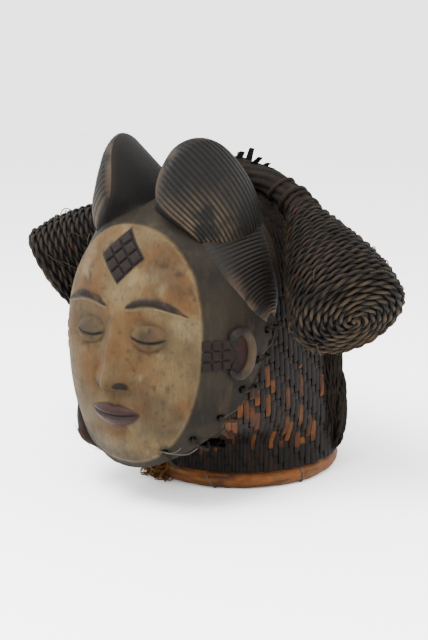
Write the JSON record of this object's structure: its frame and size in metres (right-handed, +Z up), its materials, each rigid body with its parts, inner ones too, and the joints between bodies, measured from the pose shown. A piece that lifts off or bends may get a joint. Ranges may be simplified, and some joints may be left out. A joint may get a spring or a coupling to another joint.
{
  "type": "punu helmet mask",
  "caption": "Carved wooden face mask with ribbed twin-crest coiffure on a plaited cane hood, with two hanging wicker lobes and a rolled bark hoop it stands on.",
  "frame": {"origin": "on the floor under the middle of the object's bounding box, below the hood's front half", "axes": "+Z up, -Y the way the face looks, +X towards the mask's own left"},
  "size_m": [0.4168, 0.3142, 0.338],
  "materials": {
    "carved_wood": "old dark patina with a kaolin white face",
    "plaited_cane": "dark plaited strips, some orange brown",
    "wicker": "dark twined wicker, worn grey on the high spots",
    "bark": "orange brown rolled bark",
    "fibre": "dark wrapped plant fibre",
    "cord": "pale twisted cord"
  },
  "bodies": {
    "root": {"carved_mask": "carved_wood", "woven_hood": "plaited_cane", "base_hoop": "bark", "wicker_lobe_left": "wicker", "wicker_lobe_right": "wicker", "crown_binding": "fibre", "jaw_bark_roll": "bark", "lashing_left_1": "cord", "lashing_left_2": "cord", "lashing_left_3": "cord", "lashing_left_4": "cord", "lashing_left_5": "cord", "lashing_left_6": "cord", "lashing_right_1": "cord", "lashing_right_2": "cord"}
  },
  "joints": []
}
